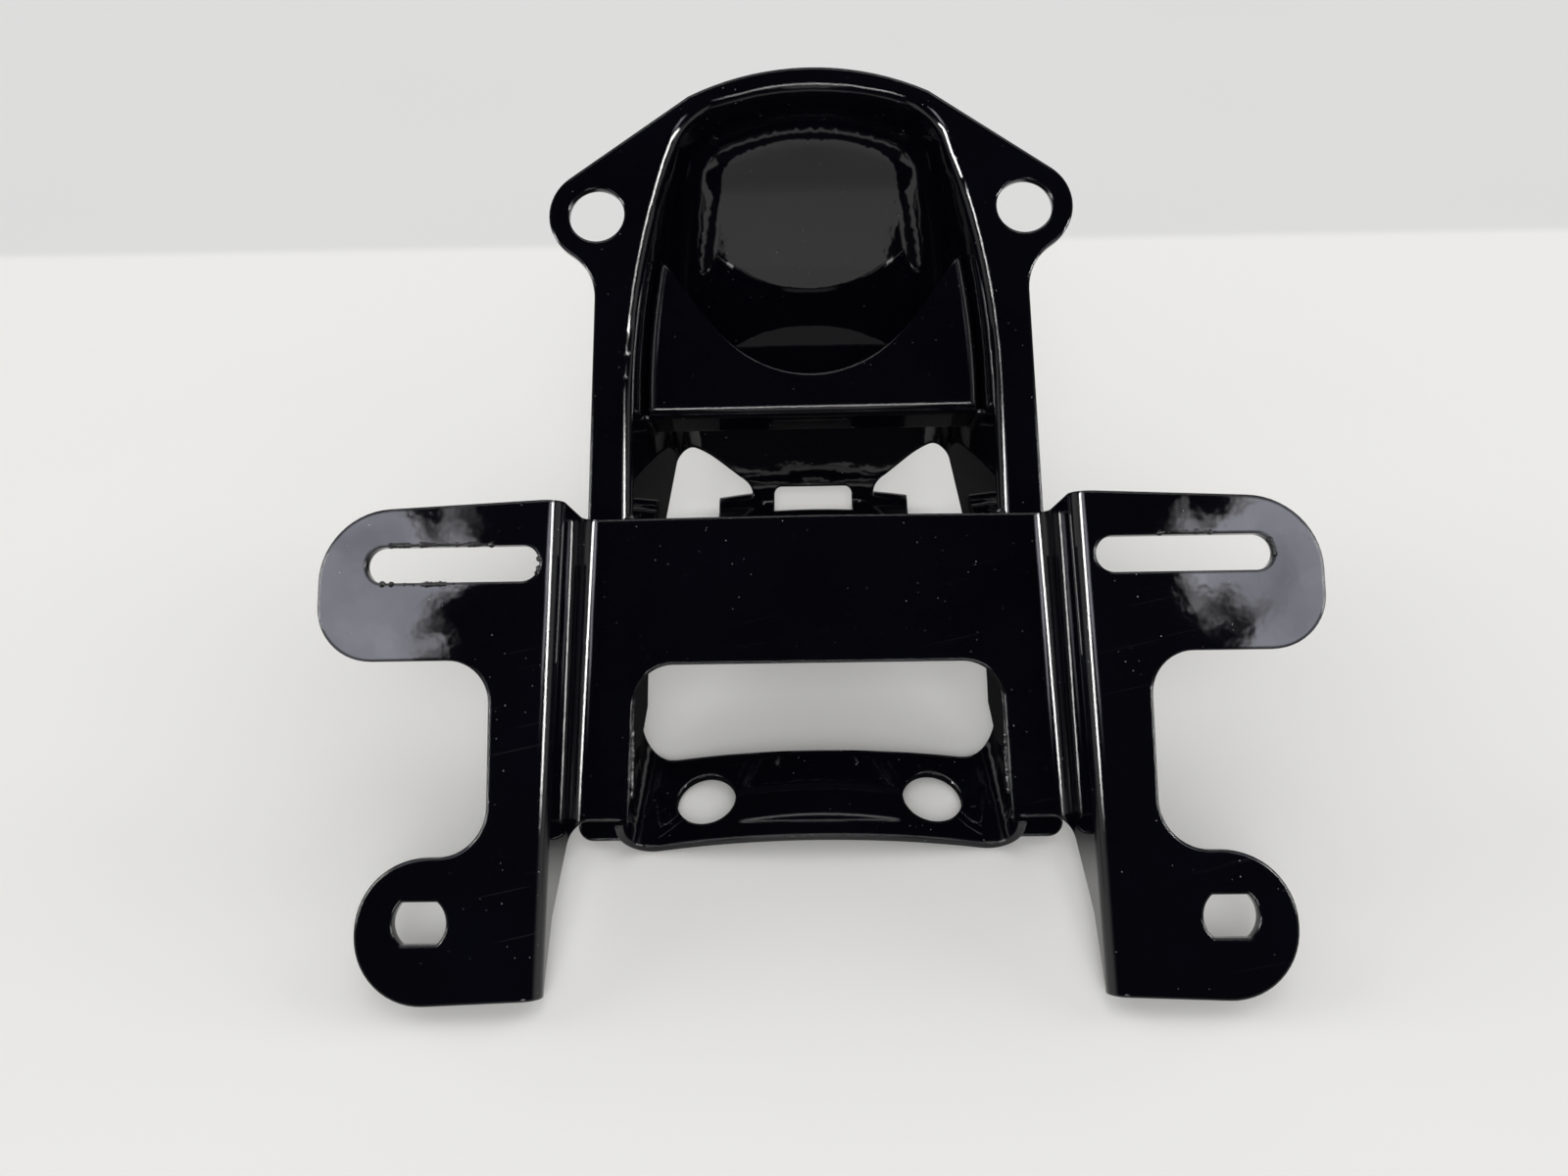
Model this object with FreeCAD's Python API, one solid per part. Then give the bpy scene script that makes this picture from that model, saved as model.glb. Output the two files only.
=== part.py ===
# Tail-lamp and number-plate bracket for a motorbike: three steel pressings welded together and painted.
# Sizes are in millimetres.  The pressings are drawn in the plate's own frame: x to the right, y into the
# bracket behind the plate panel, z up the panel.  They are then leaned back as the bracket stands on a bench.
import FreeCAD
import Part
import math
import os
from FreeCAD import Vector

# How the bracket stands
LEAN_DEG = 51.0            # plate panel, leaned back from upright
PANEL_AHEAD = 3.0          # panel face ahead of the saddle's front foot

# Sheet
HOLDER_T = 2.0             # plate holder
HOOD_T = 1.6               # lamp hood
BRACE_T = 1.6              # cross brace

# Plate holder
PLATE_STEP = 22.0          # wing faces stand this far ahead of the panel face
WEB_HALF = 47.75           # inner face of a web at the panel's top edge
WEB_SPLAY_DEG = 2.0        # the webs spread towards the bottom
PANEL_BEND = 3.5           # inside radius between panel and web
WING_BEND = 3.2            # outside radius between web and wing
PANEL_TOP = 67.9
PANEL_BOTTOM = 6.0
WINDOW_TOP = 37.4
WINDOW_HALF = 37.4
WINDOW_FLARE = 1.1         # the window is this much wider each side at its open foot
WINDOW_R = 8.0
WING_HALF = 93.6           # outer end of an upper arm
WING_TOP_OUT = 65.6        # upper arm's top edge at its outer end
ARM_LOW = 37.4             # upper arm's lower edge
NECK_HALF = 61.1           # free edge of a wing between its two arms
LOWER_TOP = 1.5
LOWER_HALF = 84.8          # outer end of a lower arm
LOWER_BOTTOM = -25.2
WING_BOTTOM_IN = -23.7     # wing's lower edge beside the web
SLOT_IN = 51.9
SLOT_OUT = 84.7
SLOT_LEVEL = 55.5
SLOT_W = 6.9
PLATE_HOLE_HALF = 73.0     # lower plate holes stand 146 apart
PLATE_HOLE_LEVEL = -10.15
PLATE_HOLE_D = 10.0
PLATE_HOLE_H = 7.6         # flat above and below

# Lamp hood
RIM_TOP = 167.7
RIM_SHOULDER = 26.2        # where the dome meets the straight shoulders
RIM_SHOULDER_DROP = 6.1
EAR_HALF = 46.1
EAR_LEVEL = 134.9
EAR_R = 10.3
EAR_HOLE_D = 12.0
WAIST_HALF = 46.4          # outer edge of the leg flanges under the ears
WAIST_R = 12.0
LEG_FOOT_HALF = 48.8
LEG_FOOT = 2.0             # lower end of the leg flanges
LEG_FOOT_R = 3.0
MOUTH_TOP = 162.75         # crest of the hood's mouth
MOUTH_HALF = 38.5          # half width of the mouth at its straight foot
MOUTH_DOME_R = 64.5
MOUTH_SHOULDER_R = 13.0
MOUTH_SIDE_R = 177.0
MOUTH_SIDE_LEVEL = 93.4    # the mouth's sides close in above this level
DRAFT = 0.075              # the hood's walls close in by this much per millimetre of depth
BACK = [(10.0, 170.6, 0.0), (22.2, 149.0, 30.0), (56.0, 104.0, 120.0), (84.0, 62.0, 0.0)]
BACK_R = 10.0              # inside radius between side walls and back
BASE_R = 5.0               # inside radius around the foot
MOUTH_R = 2.6              # outside radius of the mouth's rolled edge
ARCH_HALF = 33.0           # the saddle and the rear foot are arched for a mudguard
ARCH_RISE = 3.5
SADDLE_HOLE_HALF = 23.3
SADDLE_HOLE_Y = 10.0
SADDLE_HOLE_D = 12.2
SADDLE_FRONT = -0.4
SADDLE_REAR = 21.2
SADDLE_R = 9.0             # rounding of the saddle's rear edge into the side walls
TOE_GAP = 0.5              # the saddle's front corners pass this far under the panel's lower edge
OPENING_TOP = 18.8         # top of the arched side openings
FOOT_FRONT = 91.0
FOOT_HALF = 25.0
FOOT_LIP = 1.0             # upturned lip round the rear foot
NECK_REAR_HALF = 16.0
CABLE_HALF = 10.3          # cable slot at the rear foot's bend
CABLE_Y = 102.0
CABLE_TOP = 6.0

# Cross brace
BRACE_TOP = 129.0
BRACE_BOTTOM = 93.4
BRACE_DEPTH_TOP = 11.0     # depth of its face behind the panel face, at the tips
BRACE_DEPTH_BOTTOM = 15.0
BRACE_FLANGE = 13.0
BRACE_BEND = 2.6
NOTCH = [(48.0, 130.2), (36.6, 130.0), (33.2, 127.9), (28.8, 122.6), (20.8, 112.2), (14.0, 106.5), (0.0, 102.4)]


def rounded(points, put):
    edges = []
    last = None
    first = None
    n = len(points)
    for i in range(n):
        x, z, r = points[i]
        p = Vector(x, z, 0)
        before = Vector(points[i - 1][0], points[i - 1][1], 0)
        after = Vector(points[(i + 1) % n][0], points[(i + 1) % n][1], 0)
        if r > 0:
            a = before.sub(p).normalize()
            b = after.sub(p).normalize()
            half = a.getAngle(b) / 2
            bis = a.add(b).normalize()
            start = p.add(Vector(a).multiply(r / math.tan(half)))
            end = p.add(Vector(b).multiply(r / math.tan(half)))
            mid = p.add(Vector(bis).multiply(r / math.sin(half) - r))
        else:
            start = p
            end = p
        if last is not None and last.distanceToPoint(start) > 1e-6:
            edges.append(Part.LineSegment(put(last.x, last.y), put(start.x, start.y)).toShape())
        if r > 0:
            edges.append(Part.Arc(put(start.x, start.y), put(mid.x, mid.y), put(end.x, end.y)).toShape())
        if first is None:
            first = start
        last = end
    if last.distanceToPoint(first) > 1e-6:
        edges.append(Part.LineSegment(put(last.x, last.y), put(first.x, first.y)).toShape())
    return Part.Wire(edges)


def front(x, z):
    return Vector(x, -60, z)


def mirrored(shape):
    return shape.mirror(Vector(0, 0, 0), Vector(1, 0, 0))


def both(shape):
    return shape.fuse(mirrored(shape)).removeSplitter()


def lean(shape):
    s = shape.copy()
    s.translate(Vector(0, -PANEL_AHEAD, 0))
    s.rotate(Vector(0, 0, 0), Vector(1, 0, 0), -LEAN_DEG)
    return s


def depth(p):
    a = math.radians(LEAN_DEG)
    return PANEL_AHEAD + p.y * math.cos(a) - p.z * math.sin(a)


def mudguard(grow):
    r = (ARCH_HALF ** 2 + ARCH_RISE ** 2) / (2 * ARCH_RISE)
    fall = (FOOT_HALF ** 2 - ARCH_HALF ** 2) / (2 * r)
    slope = fall / FOOT_FRONT
    run = Vector(0, 1, slope).normalize()
    return Part.makeCylinder(r + grow, 320, Vector(0, -100, ARCH_RISE - r - 100 * slope), run)


def one_solid(shape):
    solids = sorted(shape.Solids, key=lambda s: s.Volume)
    return solids[-1]


def offset_points(points, side):
    moved = []
    n = len(points)
    for i in range(n):
        a = points[max(i - 1, 0)]
        b = points[min(i + 1, n - 1)]
        dx = b[0] - a[0]
        dz = b[1] - a[1]
        k = math.hypot(dx, dz)
        moved.append((points[i][0] - dz / k * side, points[i][1] + dx / k * side))
    return moved


def mouth_wire(inset, y):
    rd = MOUTH_DOME_R - inset
    rs = MOUTH_SHOULDER_R - inset
    ra = MOUTH_SIDE_R - inset
    dome = Vector(0, y, MOUTH_TOP - MOUTH_DOME_R)
    side = Vector(MOUTH_HALF - MOUTH_SIDE_R, y, MOUTH_SIDE_LEVEL)
    line = side.sub(dome)
    k = line.Length
    along = (MOUTH_DOME_R - MOUTH_SHOULDER_R) ** 2 - (MOUTH_SIDE_R - MOUTH_SHOULDER_R) ** 2 + k ** 2
    along = along / (2 * k)
    up = math.sqrt((MOUTH_DOME_R - MOUTH_SHOULDER_R) ** 2 - along ** 2)
    line.normalize()
    across = Vector(line.z, 0, -line.x)
    shoulder = dome.add(Vector(line).multiply(along)).add(across.multiply(up))

    def on(centre, r, angle):
        return Vector(centre.x + r * math.cos(angle), y, centre.z + r * math.sin(angle))

    a1 = math.atan2(shoulder.z - dome.z, shoulder.x - dome.x)
    a2 = math.atan2(shoulder.z - side.z, shoulder.x - side.x)
    start = on(dome, rd, a1)
    turn = on(shoulder, rs, a2)
    foot = on(side, ra, 0)
    low = Vector(foot.x, y, -60)

    def left(p):
        return Vector(-p.x, y, p.z)

    shoulder_mid = on(shoulder, rs, (a1 + a2) / 2)
    side_mid = on(side, ra, a2 / 2)
    edges = [Part.Arc(left(start), on(dome, rd, math.pi / 2), start), Part.Arc(start, shoulder_mid, turn),
             Part.Arc(turn, side_mid, foot), Part.LineSegment(foot, low), Part.LineSegment(low, left(low)),
             Part.LineSegment(left(low), left(foot)), Part.Arc(left(foot), left(side_mid), left(turn)),
             Part.Arc(left(turn), left(shoulder_mid), left(start))]
    return Part.Wire([g.toShape() for g in edges])


def cavity(grow):
    y0 = HOLDER_T - 6.0
    y1 = 92.0
    wires = [mouth_wire(DRAFT * (y - HOLDER_T) - grow, y) for y in (y0, y1)]
    prism = Part.makeLoft(wires, True, True)

    def at_side(y, z):
        return Vector(-70, y, z)

    back = offset_points([(y, z) for y, z, r in BACK], grow)
    ring = [(p[0], p[1], b[2]) for p, b in zip(back, BACK)]
    low = back[-1][0]
    wire = rounded(ring + [(low, -80, 0), (y0 - 5, -80, 0), (y0 - 5, 190, 0), (back[0][0], 190, 0)], at_side)
    ahead = Part.Face(wire).extrude(Vector(140, 0, 0))
    body = prism.common(ahead)
    body = one_solid(body)
    chain = []
    for e in body.Edges:
        m = e.valueAt((e.FirstParameter + e.LastParameter) / 2)
        on_back = wire.distToShape(Part.Vertex(at_side(m.y, m.z)))[0] < 1e-3
        across = abs(e.valueAt(e.FirstParameter).x - e.valueAt(e.LastParameter).x)
        inside = abs(m.x) < 1e-3 and m.z < MOUTH_TOP - MOUTH_DOME_R
        if on_back and y0 + 1 < m.y < low - 0.5 and not inside and (across < 60 or m.z > MOUTH_SIDE_LEVEL):
            chain.append(e)
    body = body.makeFillet(BACK_R + grow, chain)
    body = lean(body)
    drum = mudguard(HOOD_T - grow)
    body = one_solid(body.cut(drum))
    skin = drum.Faces[0].Surface
    chain = []
    for e in body.Edges:
        m = e.valueAt((e.FirstParameter + e.LastParameter) / 2)
        on_drum = skin.toShape(0, 6.28, 0, 300).distToShape(Part.Vertex(m))[0] < 1e-3
        if on_drum and depth(m) > y0 + 0.1 and abs(m.x) > 1e-3:
            chain.append(e)
    return body.makeFillet(BASE_R + grow, chain)


def plate_holder():
    drop = PANEL_TOP - LOWER_BOTTOM + 10
    t = HOLDER_T
    w = WEB_HALF
    top = PANEL_TOP + 5
    c = math.sqrt(0.5)
    a = PANEL_BEND
    b = WING_BEND
    h = -PLATE_STEP

    def p(x, y):
        return Vector(x, y, top)

    far = WING_HALF + 12
    ring = [
        Part.LineSegment(p(-12, 0), p(w - a, 0)),
        Part.Arc(p(w - a, 0), p(w - a + a * c, -a + a * c), p(w, -a)),
        Part.LineSegment(p(w, -a), p(w, h + b)),
        Part.Arc(p(w, h + b), p(w + b - b * c, h + b - b * c), p(w + b, h)),
        Part.LineSegment(p(w + b, h), p(far, h)),
        Part.LineSegment(p(far, h), p(far, h + t)),
        Part.LineSegment(p(far, h + t), p(w + b, h + t)),
        Part.Arc(p(w + b, h + t), p(w + b - (b - t) * c, h + b - (b - t) * c), p(w + t, h + b)),
        Part.LineSegment(p(w + t, h + b), p(w + t, -a)),
        Part.Arc(p(w + t, -a), p(w - a + (a + t) * c, -a + (a + t) * c), p(w - a, t)),
        Part.LineSegment(p(w - a, t), p(-12, t)),
        Part.LineSegment(p(-12, t), p(-12, 0)),
    ]
    hat = Part.Face(Part.Wire([g.toShape() for g in ring]))
    hat = hat.extrude(Vector(0, 0, -drop))
    hat.rotate(Vector(w, 0, PANEL_TOP), Vector(0, 1, 0), -WEB_SPLAY_DEG)
    outline = rounded([
        (0, PANEL_TOP, 0), (WEB_HALF + 4, PANEL_TOP - 0.4, 0), (WING_HALF, WING_TOP_OUT, 14.0),
        (WING_HALF, ARM_LOW, 10.3), (NECK_HALF, ARM_LOW, 8.0), (NECK_HALF, LOWER_TOP, 9.0),
        (LOWER_HALF, LOWER_TOP, 13.0), (LOWER_HALF, LOWER_BOTTOM, 12.5),
        (WEB_HALF - 3, WING_BOTTOM_IN, 0), (WEB_HALF - 3, PANEL_BOTTOM, 0),
        (WINDOW_HALF + WINDOW_FLARE, PANEL_BOTTOM, 0), (WINDOW_HALF, WINDOW_TOP, WINDOW_R), (0, WINDOW_TOP, 0),
    ], front)
    keep = Part.Face(outline).extrude(Vector(0, 120, 0))
    half = hat.common(keep)
    m = (SLOT_IN + SLOT_OUT) / 2
    k = (SLOT_OUT - SLOT_IN) / 2
    e = SLOT_W / 2
    slot = rounded([(m - k, SLOT_LEVEL - e, e * 0.999), (m + k, SLOT_LEVEL - e, e * 0.999),
                    (m + k, SLOT_LEVEL + e, e * 0.999), (m - k, SLOT_LEVEL + e, e * 0.999)], front)
    half = half.cut(Part.Face(slot).extrude(Vector(0, 50, 0)))
    hole = Part.makeCylinder(PLATE_HOLE_D / 2, 50, front(PLATE_HOLE_HALF, PLATE_HOLE_LEVEL), Vector(0, 1, 0))
    band = Part.makeBox(30, 60, PLATE_HOLE_H, front(PLATE_HOLE_HALF - 15, PLATE_HOLE_LEVEL - PLATE_HOLE_H / 2))
    half = half.cut(hole.common(band))
    taper = Part.Face(Part.makePolygon([
        Vector(WEB_HALF - 6, 8, PANEL_BOTTOM), Vector(WEB_HALF - 6, 0, PANEL_BOTTOM),
        Vector(WEB_HALF - 6, -14.0, LOWER_TOP - 12), Vector(WEB_HALF - 6, h + b + 0.6, WING_BOTTOM_IN + 1),
        Vector(WEB_HALF - 6, h + b + 0.6, -60), Vector(WEB_HALF - 6, 8, -60), Vector(WEB_HALF - 6, 8, PANEL_BOTTOM)]))
    half = half.cut(taper.extrude(Vector(12.5, 0, 0)))
    return one_solid(lean(both(one_solid(half))))


def rim_wire():
    ex, ez, er = EAR_HALF, EAR_LEVEL, EAR_R
    bx = RIM_SHOULDER
    bz = RIM_TOP - RIM_SHOULDER_DROP
    dx = bx - ex
    dz = bz - ez
    dist = math.hypot(dx, dz)
    turn = math.atan2(dz, dx) - math.acos(er / dist)
    tx = ex + er * math.cos(turn)
    tz = ez + er * math.sin(turn)
    fx = WAIST_HALF + WAIST_R
    fz = ez - math.sqrt((er + WAIST_R) ** 2 - (fx - ex) ** 2)
    jx = ex + (fx - ex) * er / (er + WAIST_R)
    jz = ez + (fz - ez) * er / (er + WAIST_R)
    out = (turn + math.atan2(jz - ez, jx - ex)) / 2
    bend = (math.pi + math.atan2(ez - fz, ex - fx)) / 2
    r = (bx ** 2 + RIM_SHOULDER_DROP ** 2) / (2 * RIM_SHOULDER_DROP)
    q = math.asin(bx / r) / 2

    def p(x, z):
        return Vector(x, HOLDER_T, z)

    c = math.sqrt(0.5)
    k = LEG_FOOT_R
    foot = LEG_FOOT_HALF
    right = [
        Part.Arc(p(0, RIM_TOP), p(r * math.sin(q), RIM_TOP - r + r * math.cos(q)), p(bx, bz)),
        Part.LineSegment(p(bx, bz), p(tx, tz)),
        Part.Arc(p(tx, tz), p(ex + er * math.cos(out), ez + er * math.sin(out)), p(jx, jz)),
        Part.Arc(p(jx, jz), p(fx + WAIST_R * math.cos(bend), fz + WAIST_R * math.sin(bend)), p(WAIST_HALF, fz)),
        Part.LineSegment(p(WAIST_HALF, fz), p(foot, LEG_FOOT + k)),
        Part.Arc(p(foot, LEG_FOOT + k), p(foot - k + k * c, LEG_FOOT + k - k * c), p(foot - k, LEG_FOOT)),
        Part.LineSegment(p(foot - k, LEG_FOOT), p(0, LEG_FOOT)),
        Part.LineSegment(p(0, LEG_FOOT), p(0, RIM_TOP)),
    ]
    return Part.Wire([g.toShape() for g in right])


def flare(hollow):
    box = lean(Part.makeBox(120, 24, 200, Vector(-60, HOLDER_T, PANEL_BOTTOM - TOE_GAP)))
    block = one_solid(box.cut(hollow))
    run = lean(mouth_wire(0.0, HOLDER_T))
    lip = []
    for e in block.Edges:
        m = e.valueAt((e.FirstParameter + e.LastParameter) / 2)
        if abs(depth(m) - HOLDER_T) < 1e-3 and run.distToShape(Part.Vertex(m))[0] < 0.02:
            lip.append(e)
    thin = lean(Part.makeBox(120, MOUTH_R + 0.3, 200, Vector(-60, HOLDER_T, PANEL_BOTTOM - TOE_GAP)))
    return one_solid(thin.cut(block.makeFillet(MOUTH_R, lip)))


def lamp_hood(inner):
    outer = cavity(HOOD_T)
    flange = Part.Face(rim_wire()).extrude(Vector(0, HOOD_T, 0))
    ear = Part.makeCylinder(EAR_HOLE_D / 2, 20, Vector(EAR_HALF, HOLDER_T - 5, EAR_LEVEL), Vector(0, 1, 0))
    flange = lean(both(flange.cut(ear)))
    body = outer.fuse(flange)
    ahead = lean(Part.makeBox(300, 60, 400, Vector(-150, HOLDER_T - 60, PANEL_BOTTOM - TOE_GAP)))
    toe = Part.makeBox(300, 60, 100, Vector(-150, SADDLE_FRONT - 60, -50))
    tools = [inner, flare(inner), ahead, toe] + openings()
    return one_solid(body.cut(tools))


def openings():
    z = OPENING_TOP
    y = SADDLE_REAR + SADDLE_R
    arch = Part.BSplineCurve()
    arch.interpolate(Points=[Vector(34, y, 3.0), Vector(34, y + 8.5, z * 0.53), Vector(34, y + 21, z * 0.86),
                             Vector(34, y + 40, z)],
                     InitialTangent=Vector(0, 0.6, 0.8), FinalTangent=Vector(0, 1, 0))
    ring = [Vector(34, y + 40, z), Vector(34, FOOT_FRONT + 50, z), Vector(34, FOOT_FRONT + 50, -6), Vector(34, y, -6),
            Vector(34, y, 3.0)]
    edges = [arch.toShape()]
    for a, b in zip(ring[:-1], ring[1:]):
        edges.append(Part.LineSegment(a, b).toShape())
    wall = Part.Face(Part.Wire(edges)).extrude(Vector(40, 0, 0))
    n = NECK_REAR_HALF

    def rear(x, zz):
        return Vector(x, FOOT_FRONT - 30, zz)

    def plan(x, yy):
        return Vector(x, yy, -8)

    neck = Part.Face(rounded([(n, -6, 0), (n, z * 0.33, 5.0), (n + 15.5, z, 4.0), (70, z, 0), (70, -6, 0)], rear))
    neck = neck.extrude(Vector(0, 100, 0)).cut(mudguard(HOOD_T + FOOT_LIP))
    half = MOUTH_HALF
    bay = Part.Face(rounded([(half, FOOT_FRONT, 0), (half, SADDLE_REAR, SADDLE_R), (-half, SADDLE_REAR, SADDLE_R),
                             (-half, FOOT_FRONT, 0)], plan)).extrude(Vector(0, 0, 14))
    k = FOOT_HALF
    beside = Part.Face(rounded([(k - 12, FOOT_FRONT - 20, 0), (k - 12, FOOT_FRONT, 0), (k, FOOT_FRONT, 5.0),
                                (k, FOOT_FRONT + 60, 0), (70, FOOT_FRONT + 60, 0), (70, FOOT_FRONT - 20, 0)], plan))
    beside = beside.extrude(Vector(0, 0, 8 + z * 0.6))
    cable = Part.Face(rounded([(CABLE_HALF, -6, 0), (CABLE_HALF, CABLE_TOP, 2.0), (-CABLE_HALF, CABLE_TOP, 2.0),
                               (-CABLE_HALF, -6, 0)], rear)).extrude(Vector(0, 100, 0))
    cable = cable.cut(Part.makeBox(200, CABLE_Y, 60, Vector(-100, 0, -30)))
    hole = Part.makeCylinder(SADDLE_HOLE_D / 2, 30, Vector(SADDLE_HOLE_HALF, SADDLE_HOLE_Y, -10))
    pairs = [wall, neck, beside, hole]
    return [bay, cable] + pairs + [mirrored(tool) for tool in pairs]


def cross_brace(inner):
    slope = (BRACE_DEPTH_BOTTOM - BRACE_DEPTH_TOP) / (BRACE_TOP - BRACE_BOTTOM)
    lower = BRACE_BOTTOM
    y0 = BRACE_DEPTH_BOTTOM
    rise = BRACE_TOP + 20 - lower
    a = math.radians(LEAN_DEG)

    def slab(shift, bottom, back):
        pts = [Vector(-70, y0 + shift, bottom), Vector(-70, back, bottom), Vector(-70, back, lower + rise),
               Vector(-70, y0 + shift - slope * rise, lower + rise), Vector(-70, y0 + shift, bottom)]
        return Part.Face(Part.makePolygon(pts)).extrude(Vector(140, 0, 0))

    tray = one_solid(inner.common(lean(slab(0, lower, y0 + BRACE_FLANGE))))
    bends = []
    for e in tray.Edges:
        m = e.valueAt((e.FirstParameter + e.LastParameter) / 2)
        up = m.z * math.cos(a) + m.y * math.sin(a)
        on_face = abs(depth(m) - (y0 - slope * (up - lower))) < 1e-3
        if on_face and up < BRACE_TOP + 15 and e.Length > 5:
            bends.append(e)
    tray = tray.makeFillet(BRACE_BEND, bends)
    hollow = cavity(-BRACE_T).common(lean(slab(BRACE_T, lower + BRACE_T, y0 + BRACE_FLANGE + 30)))
    tray = one_solid(tray.cut(hollow))
    right = NOTCH
    pts = [Vector(-x, -60, z) for x, z in right[:-1]] + [Vector(x, -60, z) for x, z in reversed(right)]
    curve = Part.BSplineCurve()
    curve.interpolate(Points=pts)
    edges = [curve.toShape(), Part.LineSegment(pts[-1], Vector(60, -60, 190)).toShape(),
             Part.LineSegment(Vector(60, -60, 190), Vector(-60, -60, 190)).toShape(),
             Part.LineSegment(Vector(-60, -60, 190), pts[0]).toShape()]
    notch = Part.Face(Part.Wire(edges)).extrude(Vector(0, 160, 0))
    return one_solid(tray.cut(lean(notch)))


inner = cavity(0.0)
hood = lamp_hood(inner)
holder = plate_holder()
brace = cross_brace(inner)
parts = {"lamp_hood": hood, "plate_holder": holder, "cross_brace": brace}
extent = FreeCAD.BoundBox()
for shape in parts.values():
    extent.add(shape.optimalBoundingBox(False, False))
settle = Vector(0, -(extent.YMin + extent.YMax) / 2, -extent.ZMin)
print("settled by", settle, "overall", extent.XLength, extent.YLength, extent.ZLength)
os.makedirs("parts", exist_ok=True)
for name, shape in parts.items():
    shape.translate(settle)
    print(name, shape.isValid(), round(shape.Volume, 1))
    shape.exportStep("parts/" + name + ".step")
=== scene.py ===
import math

import bmesh
import bpy
from mathutils import Matrix, Vector


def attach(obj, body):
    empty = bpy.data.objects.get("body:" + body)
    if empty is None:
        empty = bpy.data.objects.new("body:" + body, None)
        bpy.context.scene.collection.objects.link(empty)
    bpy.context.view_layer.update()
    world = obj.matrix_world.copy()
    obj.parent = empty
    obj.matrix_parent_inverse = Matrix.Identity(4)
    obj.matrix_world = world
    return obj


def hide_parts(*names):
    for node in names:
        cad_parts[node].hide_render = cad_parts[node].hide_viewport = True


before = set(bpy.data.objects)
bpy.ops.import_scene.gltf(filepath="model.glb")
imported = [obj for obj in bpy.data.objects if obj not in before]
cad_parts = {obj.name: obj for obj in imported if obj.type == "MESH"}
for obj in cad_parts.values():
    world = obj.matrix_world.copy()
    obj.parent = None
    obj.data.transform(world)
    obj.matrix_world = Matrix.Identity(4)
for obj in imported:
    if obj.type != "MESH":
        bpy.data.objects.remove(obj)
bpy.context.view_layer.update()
scene = bpy.context.scene
print("frame loaded:", sorted(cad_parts))

# The plate panel leans back: its outward normal and its upward line.
lean = math.radians(51.0)
panelOut = Vector((0, -math.cos(lean), math.sin(lean)))
panelUp = Vector((0, math.sin(lean), math.cos(lean)))
panelFoot = Vector((0, -0.051213, 0.002479))      # middle of the panel face at level 0


def onPanel(x, up, depth):
    # x, up and depth in millimetres, on the panel's own lines
    return panelFoot + Vector((x, 0, 0)) / 1000 + panelUp * up / 1000 - panelOut * depth / 1000


# Nodes

def nodeMaker(tree):
    def make(kind, **values):
        n = tree.nodes.new(kind)
        for key, value in values.items():
            if key in n.inputs:
                n.inputs[key].default_value = value
            else:
                setattr(n, key, value)
        return n

    def link(a, b):
        tree.links.new(a, b)
    return make, link


def nodeSums(tree):
    make, link = nodeMaker(tree)

    def ramp(value, low, high, up=True, to=(0.0, 1.0), kind="SMOOTHSTEP"):
        n = make("ShaderNodeMapRange", interpolation_type=kind)
        n.inputs["From Min"].default_value = low
        n.inputs["From Max"].default_value = high
        n.inputs["To Min"].default_value = to[0] if up else to[1]
        n.inputs["To Max"].default_value = to[1] if up else to[0]
        link(value, n.inputs["Value"])
        return n.outputs[0]

    def maths(kind, a, b):
        n = make("ShaderNodeMath", operation=kind)
        for socket, value in zip(n.inputs, (a, b)):
            if isinstance(value, (int, float)):
                socket.default_value = value
            else:
                link(value, socket)
        return n.outputs[0]

    def product(*parts):
        total = parts[0]
        for part in parts[1:]:
            total = maths("MULTIPLY", total, part)
        return total
    return ramp, maths, product


def noiseOf(tree, way, size, detail, **values):
    make, link = nodeMaker(tree)
    n = make("ShaderNodeTexNoise", Scale=size, Detail=detail, **values)
    link(way, n.inputs["Vector"])
    return n.outputs[0]


# Black enamel

enamelLook = {
    "black": (0.0012, 0.0012, 0.0018, 1),
    "haze": (0.0026, 0.0028, 0.0058, 1),
    "dust": (0.34, 0.34, 0.35, 1),
    "gloss": 0.015,
    "glossSpread": 0.025,
    "dustRough": 0.55,
    "cloudSize": 38.0,
    "peelSize": 420.0,
    "peelHeight": 0.000012,
    "peelStrength": 0.5,
    "waveSize": 55.0,
    "waveHeight": 0.00012,
    "waveStrength": 0.35,
    "speckSize": 760.0,
    "speckRadius": 0.08,
    "speckPick": (0.35, 1.0),
    "patchSize": 26.0,
    "patchEdge": (0.36, 0.52),
    "hairTurn": (0.68, 0.0, 0.26),
    "hairScale": (0.04, 0.0006, 0.04),
    "hairEdge": (0.735, 0.765),
    "edgeRadius": 0.0008,
    "edgeSamples": 6,
}


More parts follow.
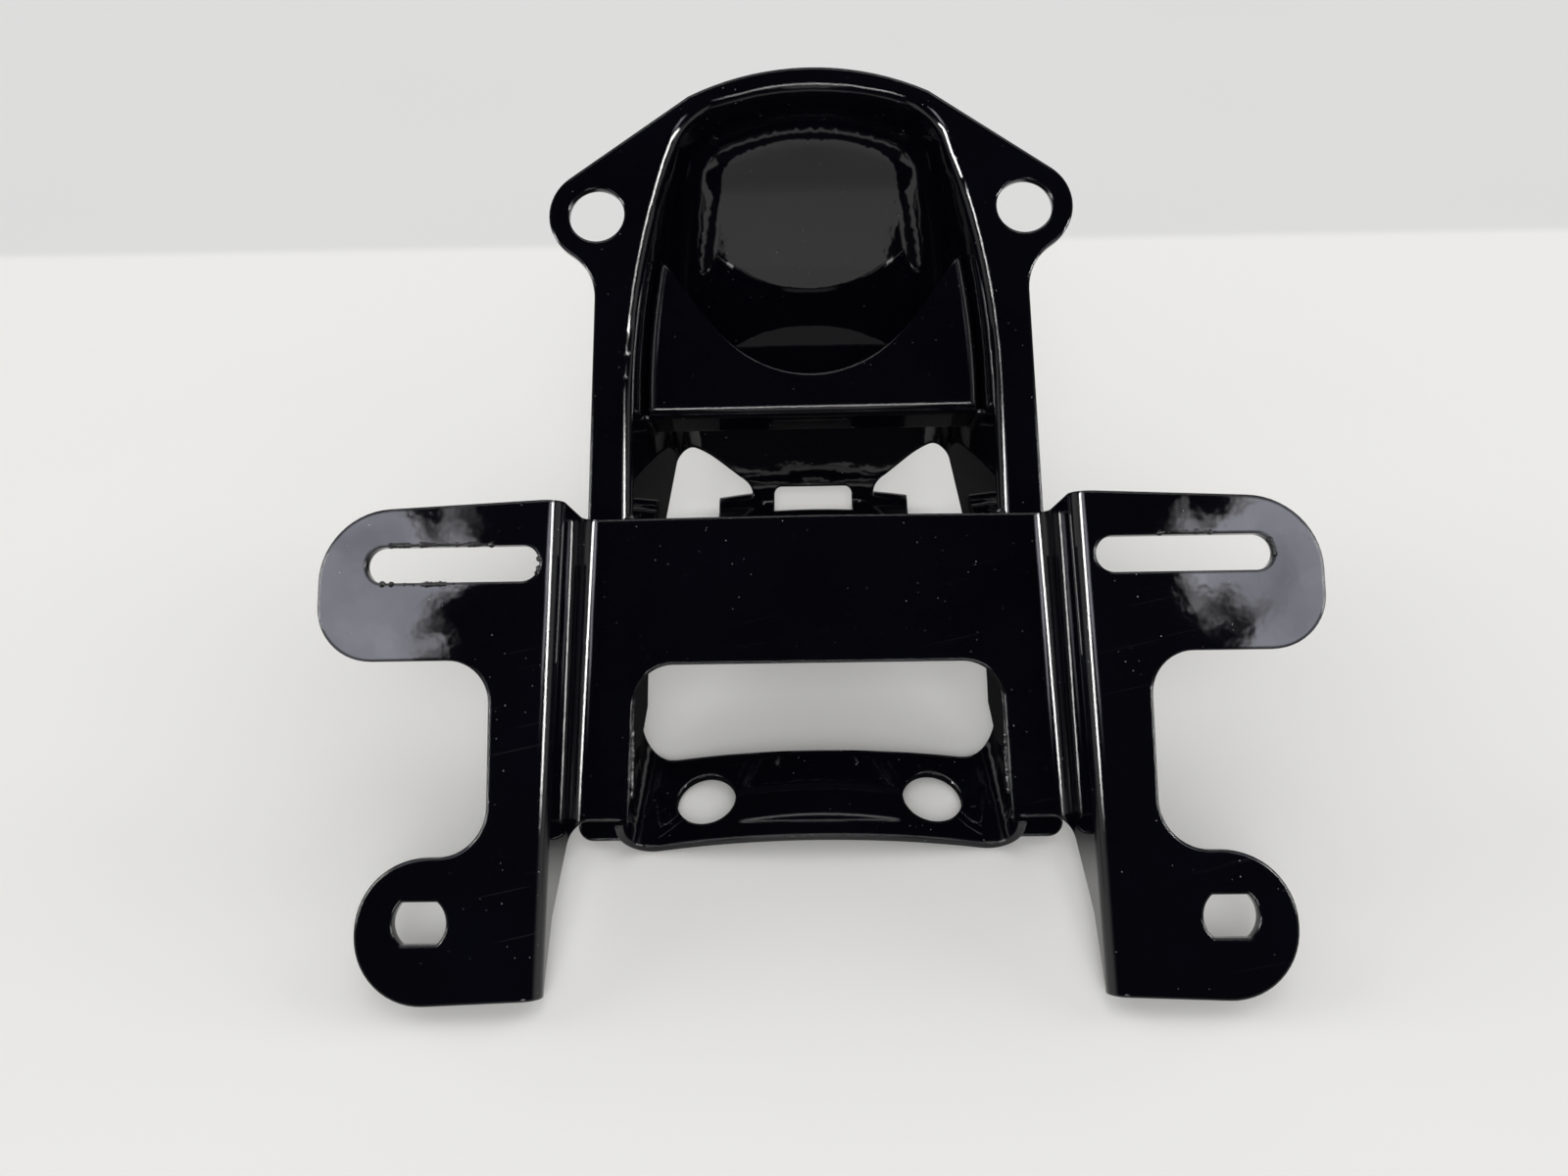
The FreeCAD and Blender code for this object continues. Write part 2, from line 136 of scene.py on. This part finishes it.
def blackEnamel(name, look, scratches=0.0):
    mat = bpy.data.materials.new(name)
    mat.use_nodes = True
    tree = mat.node_tree
    tree.nodes.clear()
    make, link = nodeMaker(tree)
    ramp, maths, product = nodeSums(tree)
    out = make("ShaderNodeOutputMaterial")
    shader = make("ShaderNodeBsdfPrincipled", IOR=1.5)
    link(shader.outputs[0], out.inputs[0])
    place = make("ShaderNodeTexCoord").outputs["Object"]

    # dust: a few pale specks of mixed size
    cells = make("ShaderNodeTexVoronoi", Scale=look["speckSize"], Randomness=1.0)
    link(place, cells.inputs["Vector"])
    pick = make("ShaderNodeSeparateColor")
    link(cells.outputs["Color"], pick.inputs[0])
    few = ramp(pick.outputs[0], *look["speckPick"], to=(0.0, look["speckRadius"]), kind="LINEAR")
    patches = ramp(noiseOf(tree, place, look["patchSize"], 2.0), *look["patchEdge"], kind="LINEAR")
    speck = product(maths("LESS_THAN", cells.outputs["Distance"], few), patches)

    # the paint's own slow change of tone
    cloud = noiseOf(tree, place, look["cloudSize"], 4.0, Roughness=0.6)
    tone = make("ShaderNodeMix", data_type="RGBA")
    tone.inputs[6].default_value = look["black"]
    tone.inputs[7].default_value = look["haze"]
    link(cloud, tone.inputs["Factor"])

    # hairline scratches, drawn out along one line and broken up
    turn = make("ShaderNodeMapping", vector_type="TEXTURE")
    turn.inputs["Rotation"].default_value = look["hairTurn"]
    turn.inputs["Scale"].default_value = look["hairScale"]
    link(place, turn.inputs["Vector"])
    hair = ramp(noiseOf(tree, turn.outputs[0], 1.0, 1.0), *look["hairEdge"], kind="LINEAR")
    marks = maths("MAXIMUM", speck, product(hair, patches, scratches))
    colour = make("ShaderNodeMix", data_type="RGBA")
    colour.inputs[7].default_value = look["dust"]
    link(marks, colour.inputs["Factor"])
    link(tone.outputs[2], colour.inputs[6])
    link(colour.outputs[2], shader.inputs["Base Color"])

    sheen = ramp(cloud, 0.0, 1.0, to=(look["gloss"], look["gloss"] + look["glossSpread"]), kind="LINEAR")
    rough = make("ShaderNodeMix", data_type="FLOAT")
    link(marks, rough.inputs["Factor"])
    link(sheen, rough.inputs[2])
    rough.inputs[3].default_value = look["dustRough"]
    link(rough.outputs[0], shader.inputs["Roughness"])

    # orange peel over the sheet's slow waviness, on softened edges
    edge = make("ShaderNodeBevel", Radius=look["edgeRadius"], samples=look["edgeSamples"])
    slow = make("ShaderNodeBump", Strength=look["waveStrength"], Distance=look["waveHeight"])
    fine = make("ShaderNodeBump", Strength=look["peelStrength"], Distance=look["peelHeight"])
    link(edge.outputs[0], slow.inputs["Normal"])
    link(noiseOf(tree, place, look["waveSize"], 1.0), slow.inputs["Height"])
    link(slow.outputs[0], fine.inputs["Normal"])
    link(noiseOf(tree, place, look["peelSize"], 1.0), fine.inputs["Height"])
    link(fine.outputs[0], shader.inputs["Normal"])
    return mat


hoodPaint = blackEnamel("hoodEnamel", enamelLook)
holderPaint = blackEnamel("holderEnamel", enamelLook, scratches=0.02)
bracePaint = blackEnamel("braceEnamel", enamelLook)
beadPaint = blackEnamel("beadEnamel", {**enamelLook, "gloss": 0.05, "speckRadius": 0.02})
print("paint mixed")


# Pressings: each one is a merged copy of its solid, in its own paint

meshLook = {"merge": 2e-6, "slim": 1e-6, "evenWeight": 60}
pressings = {
    "lamp_hood": {"paint": hoodPaint, "smooth": 32.0},
    "plate_holder": {"paint": holderPaint, "smooth": 32.0},
    "cross_brace": {"paint": bracePaint, "smooth": 32.0},
}


def paintedPressing(node, look):
    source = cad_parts[node]
    mesh = source.data.copy()
    mesh.name = node + "Painted"
    bm = bmesh.new()
    bm.from_mesh(mesh)
    bmesh.ops.remove_doubles(bm, verts=bm.verts, dist=meshLook["merge"])
    bmesh.ops.dissolve_degenerate(bm, dist=meshLook["slim"], edges=bm.edges)
    for f in bm.faces:
        f.smooth = True
    sharp = math.radians(look["smooth"])
    for e in bm.edges:
        if len(e.link_faces) == 2 and e.calc_face_angle(0) > sharp:
            e.smooth = False
    bm.to_mesh(mesh)
    bm.free()
    mesh.materials.clear()
    mesh.materials.append(look["paint"])
    piece = bpy.data.objects.new(node + "Painted", mesh)
    scene.collection.objects.link(piece)
    evenOut = piece.modifiers.new("evenOut", "WEIGHTED_NORMAL")
    evenOut.keep_sharp = True
    evenOut.weight = meshLook["evenWeight"]
    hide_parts(node)
    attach(piece, "root")
    return piece


painted = {node: paintedPressing(node, look) for node, look in pressings.items()}
print("pressings painted:", {k: len(o.data.polygons) for k, o in painted.items()})


# Weld beads: lumps set along a path and melted into one skin

skinThreshold = 0.1
beadLook = {"spacing": 0.0007, "radius": 0.00075, "uneven": 0.22, "voxel": 0.00022, "seed": 7}
beadPaths = {
    "braceLeft": [(-37.2, 93.4, 16.0), (-36.9, 92.6, 21.0), (-36.6, 92.8, 26.0)],
    "braceRight": [(37.2, 93.4, 16.0), (36.9, 92.6, 21.0), (36.6, 92.8, 26.0)],
    "panelLeft": [(-38.2, 68.2, 1.4), (-37.9, 68.7, 3.4), (-37.6, 69.6, 6.4)],
    "panelRight": [(38.2, 68.2, 1.4), (37.9, 68.7, 3.4), (37.6, 69.6, 6.4)],
    "windowLeft": [(-38.3, 11.0, 2.2), (-38.1, 18.0, 2.5), (-38.2, 26.0, 2.2), (-38.0, 32.0, 2.6)],
    "windowRight": [(38.3, 11.0, 2.2), (38.1, 18.0, 2.5), (38.2, 26.0, 2.2), (38.0, 32.0, 2.6)],
}

# Paint gathered in lumps along the slots' edges
runLook = {"spacing": 0.0008, "radius": 0.00042, "uneven": 0.55, "voxel": 0.00015, "seed": 3}
runPaths = {
    "leftTop": [(-80.0, 59.2, -21.85), (-72.0, 59.3, -21.8), (-61.0, 59.15, -21.85)],
    "leftFoot": [(-81.5, 51.9, -21.85), (-75.0, 51.7, -21.8), (-68.0, 51.8, -21.85)],
    "leftEnd": [(-52.2, 57.2, -21.85), (-51.7, 55.4, -21.8), (-52.3, 53.6, -21.85)],
    "rightTop": [(63.0, 59.25, -21.85), (68.5, 59.5, -21.75), (74.0, 59.2, -21.85)],
    "rightEnd": [(84.0, 57.6, -21.85), (84.9, 55.4, -21.8), (84.1, 53.2, -21.85)],
}


def beadTree(look, paint):
    tree = bpy.data.node_groups.new("lumpRow", "GeometryNodeTree")
    face = tree.interface
    face.new_socket("Geometry", in_out="INPUT", socket_type="NodeSocketGeometry")
    for name in ("spacing", "radius", "uneven", "voxel"):
        socket = face.new_socket(name, in_out="INPUT", socket_type="NodeSocketFloat")
        socket.default_value = look[name]
    face.new_socket("Geometry", in_out="OUTPUT", socket_type="NodeSocketGeometry")
    make, link = nodeMaker(tree)
    start = make("NodeGroupInput")
    end = make("NodeGroupOutput")
    path = make("GeometryNodeMeshToCurve")
    dots = make("GeometryNodeCurveToPoints", mode="LENGTH")
    spread = make("FunctionNodeRandomValue", data_type="FLOAT", Seed=look["seed"])
    low = make("ShaderNodeMath", operation="SUBTRACT")
    low.inputs[0].default_value = 1.0
    high = make("ShaderNodeMath", operation="ADD")
    high.inputs[0].default_value = 1.0
    size = make("ShaderNodeMath", operation="MULTIPLY")
    blob = make("GeometryNodePointsToVolume", resolution_mode="VOXEL_SIZE")
    skin = make("GeometryNodeVolumeToMesh", resolution_mode="VOXEL_SIZE", Threshold=skinThreshold)
    smooth = make("GeometryNodeSetShadeSmooth")
    colour = make("GeometryNodeSetMaterial", Material=paint)
    whole = make("GeometryNodeRealizeInstances")
    link(start.outputs["Geometry"], path.inputs[0])
    link(path.outputs[0], dots.inputs[0])
    link(start.outputs["spacing"], dots.inputs["Length"])
    link(start.outputs["uneven"], low.inputs[1])
    link(start.outputs["uneven"], high.inputs[1])
    link(low.outputs[0], spread.inputs[2])
    link(high.outputs[0], spread.inputs[3])
    link(spread.outputs[1], size.inputs[0])
    link(start.outputs["radius"], size.inputs[1])
    link(dots.outputs[0], blob.inputs["Points"])
    link(size.outputs[0], blob.inputs["Radius"])
    link(start.outputs["voxel"], blob.inputs["Voxel Size"])
    link(blob.outputs[0], skin.inputs["Volume"])
    link(start.outputs["voxel"], skin.inputs["Voxel Size"])
    link(skin.outputs[0], smooth.inputs["Geometry"])
    link(smooth.outputs[0], whole.inputs[0])
    link(whole.outputs[0], colour.inputs["Geometry"])
    link(colour.outputs[0], end.inputs[0])
    return tree


def lumpRows(name, paths, look, paint):
    verts, edges = [], []
    for points in paths.values():
        first = len(verts)
        verts += [onPanel(*p) for p in points]
        edges += [(first + i, first + i + 1) for i in range(len(points) - 1)]
    mesh = bpy.data.meshes.new(name + "Paths")
    mesh.from_pydata(verts, edges, [])
    piece = bpy.data.objects.new(name, mesh)
    scene.collection.objects.link(piece)
    grow = piece.modifiers.new("lumpRow", "NODES")
    grow.node_group = beadTree(look, paint)
    grown = piece.evaluated_get(bpy.context.evaluated_depsgraph_get())
    solid = bpy.data.meshes.new_from_object(grown)
    piece.modifiers.remove(grow)
    piece.data = solid
    solid.materials.clear()
    solid.materials.append(paint)
    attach(piece, "root")
    return piece


beads = lumpRows("weldBeads", beadPaths, beadLook, beadPaint)
runs = lumpRows("paintRuns", runPaths, runLook, beadPaint)
print("weld beads and paint runs:", len(beads.data.polygons), len(runs.data.polygons), "faces")


# Camera

cameraPlace = {
    "at": (-0.00134, -0.180865, 0.200508), "yaw": -1.75, "pitch": 44.0, "roll": -2.109,
    "lens": 26.55, "sensor": 36.0, "clip": 0.01,
}


def setCamera(place):
    yaw, pitch, roll = (math.radians(place[k]) for k in ("yaw", "pitch", "roll"))
    ahead = Vector((math.sin(yaw) * math.cos(pitch), math.cos(yaw) * math.cos(pitch), -math.sin(pitch)))
    right = Vector((math.cos(yaw), -math.sin(yaw), 0))
    up = right.cross(ahead)
    right2 = right * math.cos(roll) + up * math.sin(roll)
    up2 = up * math.cos(roll) - right * math.sin(roll)
    data = bpy.data.cameras.new("camera")
    data.lens = place["lens"]
    data.sensor_width = place["sensor"]
    data.clip_start = place["clip"]
    cam = bpy.data.objects.new("camera", data)
    scene.collection.objects.link(cam)
    turn = Matrix((right2, up2, -ahead)).transposed().to_4x4()
    cam.matrix_world = Matrix.Translation(Vector(place["at"])) @ turn
    scene.camera = cam


setCamera(cameraPlace)


# Pale floor, with a greyer stretch behind one line

floorLook = {
    "reach": 8.0, "near": (0.86, 0.855, 0.84, 1), "far": (0.745, 0.745, 0.745, 1), "rough": 0.65,
    "line": ((-0.2974, 0.2087), (0.2692, 0.2032)), "blur": 0.004,
    "cloudSize": 7.0, "cloudTop": 1.017, "cloudDepth": 0.034,
    # painted shade on the floor, seen only by glossy rays: the floor is darker in front of the part, but for
    # a far strip, and under it, so the part's reflections are darkened
    "front": {"half": (0.06, 0.10), "fan": 0.4, "from": (-0.15, -0.13), "paintedGlossShade": 0.97},
    "path": {"fan": -0.066, "from": -1.2},
    "paintedShadeUnder": {"half": (0.05, 0.07), "from": (-0.06, -0.04), "to": (0.12, 0.15), "paintedGlossShade": 0.95},
}


def floorPaper(look):
    mat = bpy.data.materials.new("floorPaper")
    mat.use_nodes = True
    make, link = nodeMaker(mat.node_tree)
    ramp, maths, product = nodeSums(mat.node_tree)
    shader = mat.node_tree.nodes["Principled BSDF"]
    shader.inputs["Roughness"].default_value = look["rough"]
    shader.inputs["Specular IOR Level"].default_value = 0.0
    place = make("ShaderNodeTexCoord").outputs["Object"]
    axes = make("ShaderNodeSeparateXYZ")
    link(place, axes.inputs[0])
    x, y = axes.outputs["X"], axes.outputs["Y"]
    aside = maths("ABSOLUTE", x, 0)

    (xl, yl), (xr, yr) = look["line"]
    slope = (yr - yl) / (xr - xl)
    past = maths("SUBTRACT", y, maths("ADD", maths("MULTIPLY", x, slope), yl - slope * xl))
    cloud = noiseOf(mat.node_tree, place, look["cloudSize"], 3.0)
    tone = make("ShaderNodeMix", data_type="RGBA")
    tone.inputs[6].default_value = look["near"]
    tone.inputs[7].default_value = look["far"]
    link(ramp(past, -look["blur"], look["blur"]), tone.inputs["Factor"])

    # painted shade and painted reflection: glossy rays see the floor darkened ahead of the part and under it
    front, path, paintedShadeUnder = (look[k] for k in ("front", "path", "paintedShadeUnder"))
    fan = maths("ADD", aside, product(y, front["fan"]))
    ahead = product(ramp(fan, *front["half"], up=False), ramp(y, *front["from"], up=False), front["paintedGlossShade"])
    strip = product(maths("LESS_THAN", aside, product(y, path["fan"])), maths("LESS_THAN", y, path["from"]))
    ahead = product(ahead, maths("SUBTRACT", 1.0, strip))
    paintedShadeBelow = product(ramp(aside, *paintedShadeUnder["half"], up=False), ramp(y, *paintedShadeUnder["from"]),
                    ramp(y, *paintedShadeUnder["to"], up=False), paintedShadeUnder["paintedGlossShade"])
    rays = make("ShaderNodeLightPath")
    paintedGlossShade = product(rays.outputs["Is Glossy Ray"], maths("MAXIMUM", ahead, paintedShadeBelow))
    patchy = maths("SUBTRACT", look["cloudTop"], product(cloud, look["cloudDepth"]))
    light = product(maths("SUBTRACT", 1.0, paintedGlossShade), patchy)
    shade = make("ShaderNodeMix", data_type="RGBA")
    shade.inputs[6].default_value = (0, 0, 0, 1)
    link(light, shade.inputs["Factor"])
    link(tone.outputs[2], shade.inputs[7])
    link(shade.outputs[2], shader.inputs["Base Color"])
    return mat


def paleFloor(look):
    r = look["reach"]
    mesh = bpy.data.meshes.new("floor")
    mesh.from_pydata([(-r, -r, 0), (r, -r, 0), (r, r, 0), (-r, r, 0)], [], [(0, 1, 2, 3)])
    mesh.materials.append(floorPaper(look))
    obj = bpy.data.objects.new("floor", mesh)
    scene.collection.objects.link(obj)


paleFloor(floorLook)


# Light: gloss sees a room of its own, the camera a plain backdrop, and soft suns light the rest

roomLook = {
    "pale": (0.95, 0.945, 0.935, 1), "lilac": (0.87, 0.87, 1.0, 1),
    "strength": 0.45, "backdrop": 0.80, "least": 0.006,
    "bank": {"slant": (0.53, 0.58), "end": (1.0, 1.15), "top": (0.825, 0.845), "foot": (0.68, 0.74),
             "wavy": 0.26, "waveSize": 15.0, "topWavy": 0.4, "rightBack": 0.07, "base": 0.3, "glow": 7.0},
    "core": {"turn": -0.5, "half": 0.025, "flare": 0.09, "foot": (0.34, 0.42), "top": (0.72, 0.80),
             "glow": 90.0},
    "front": {"half": (0.16, 0.22), "foot": (0.47, 0.48), "top": (0.51, 0.52), "glow": 36.0},
    "over": {"half": (0.3, 0.5), "from": (0.10, 0.16), "to": (0.34, 0.42), "height": (0.5, 0.7), "glow": 6.0},
    "door": {"half": 0.066, "flare": 0.15, "top": 0.37, "glow": 0.95, "fade": 1.0},
    "guard": 0.02,      # keeps the divisions finite
    "horizon": {"from": (-0.15, 0.25), "sides": 0.6, "top": (0.35, 0.62), "glow": 0.7},
}


def paleRoom(look):
    world = bpy.data.worlds.new("paleRoom")
    world.use_nodes = True
    scene.world = world
    tree = world.node_tree
    tree.nodes.clear()
    make, link = nodeMaker(tree)
    ramp, maths, product = nodeSums(tree)
    out = make("ShaderNodeOutputWorld")
    glow = make("ShaderNodeBackground")
    link(glow.outputs[0], out.inputs[0])
    way = make("ShaderNodeTexCoord").outputs["Generated"]
    axes = make("ShaderNodeSeparateXYZ")
    link(way, axes.inputs[0])
    x, y, z = (axes.outputs[k] for k in "XYZ")
    aside = maths("ABSOLUTE", x, 0)
    ahead = maths("LESS_THAN", y, 0.0)
    bank, core, front, over = (look[k] for k in ("bank", "core", "front", "over"))
    door, horizon, guard = (look[k] for k in ("door", "horizon", "guard"))

    # a pale bank on each side, with wavy edges
    wobble = noiseOf(tree, way, bank["waveSize"], 3.0)
    shift = product(maths("SUBTRACT", wobble, 0.5), bank["wavy"])
    slant = maths("DIVIDE", aside, maths("ADD", maths("ABSOLUTE", y, 0), guard))
    away = maths("SUBTRACT", slant, product(maths("GREATER_THAN", x, 0.0), bank["rightBack"]))
    wavyTop = maths("ADD", z, product(shift, bank["topWavy"]))
    side = product(ramp(maths("ADD", away, shift), *bank["slant"]), ramp(slant, *bank["end"], up=False),
                   ahead, ramp(z, *bank["foot"]), ramp(wavyTop, *bank["top"], up=False))
    bankLight = product(side, maths("ADD", wobble, bank["base"]), bank["glow"])

    # a narrow lamp beside each bank, wider towards its top
    bearing = maths("DIVIDE", y, maths("ADD", aside, guard))
    turn = maths("ABSOLUTE", maths("SUBTRACT", bearing, core["turn"]), 0)
    height = maths("SUBTRACT", z, core["foot"][0])
    spread = maths("ADD", product(height, core["flare"]), core["half"])
    lampLight = product(maths("LESS_THAN", turn, spread), ramp(z, *core["foot"]),
                        ramp(z, *core["top"], up=False), core["glow"])

    # a strip light over the front and one overhead
    frontLight = product(ramp(aside, *front["half"], up=False), ramp(z, *front["foot"]),
                         ramp(z, *front["top"], up=False), ahead, front["glow"])
    overLight = product(ramp(aside, *over["half"], up=False), ramp(y, *over["from"]),
                        ramp(y, *over["to"], up=False), ramp(z, *over["height"]), over["glow"])

    # a doorway in front, and the pale room behind
    narrow = maths("LESS_THAN", aside, maths("ADD", product(z, door["flare"]), door["half"]))
    doorLight = product(narrow, maths("LESS_THAN", z, door["top"]), ahead,
                        maths("SUBTRACT", door["glow"], product(z, door["fade"])))
    behind = maths("ADD", y, product(aside, horizon["sides"]))
    roomLight = product(ramp(behind, *horizon["from"]), ramp(z, *horizon["top"], up=False), horizon["glow"])
    room = roomLight
    for light in (bankLight, lampLight, frontLight, overLight, doorLight):
        room = maths("MAXIMUM", room, light)

    rays = make("ShaderNodeLightPath")
    gloss, seen = rays.outputs["Is Glossy Ray"], rays.outputs["Is Camera Ray"]
    rest = maths("SUBTRACT", maths("SUBTRACT", 1.0, gloss), seen)
    plain = maths("ADD", product(seen, look["backdrop"]), product(rest, look["strength"]))
    level = maths("ADD", product(room, gloss), plain)
    tint = make("ShaderNodeMix", data_type="RGBA")
    tint.inputs[6].default_value = look["pale"]
    tint.inputs[7].default_value = look["lilac"]
    link(product(side, gloss), tint.inputs["Factor"])
    link(tint.outputs[2], glow.inputs["Color"])
    link(maths("MAXIMUM", level, look["least"]), glow.inputs["Strength"])


paleRoom(roomLook)

suns = {
    "leftSun": {"from": (-0.9, 0.45, 0.5), "angle": 35.0, "strength": 0.70},
    "rightSun": {"from": (0.9, 0.45, 0.5), "angle": 35.0, "strength": 0.70},
    "topSun": {"from": (0.08, 0.24, 0.85), "angle": 40.0, "strength": 0.38},
    "frontSun": {"from": (0.0, -0.75, 0.70), "angle": 40.0, "strength": 1.07},
}
for name, sun in suns.items():
    data = bpy.data.lights.new(name, "SUN")
    data.energy = sun["strength"]
    data.angle = math.radians(sun["angle"])
    obj = bpy.data.objects.new(name, data)
    scene.collection.objects.link(obj)
    obj.location = sun["from"]
    obj.visible_glossy = False
    obj.rotation_euler = (-Vector(sun["from"])).to_track_quat("-Z", "Y").to_euler()
scene.view_settings.view_transform = "Standard"
print("stage lit")
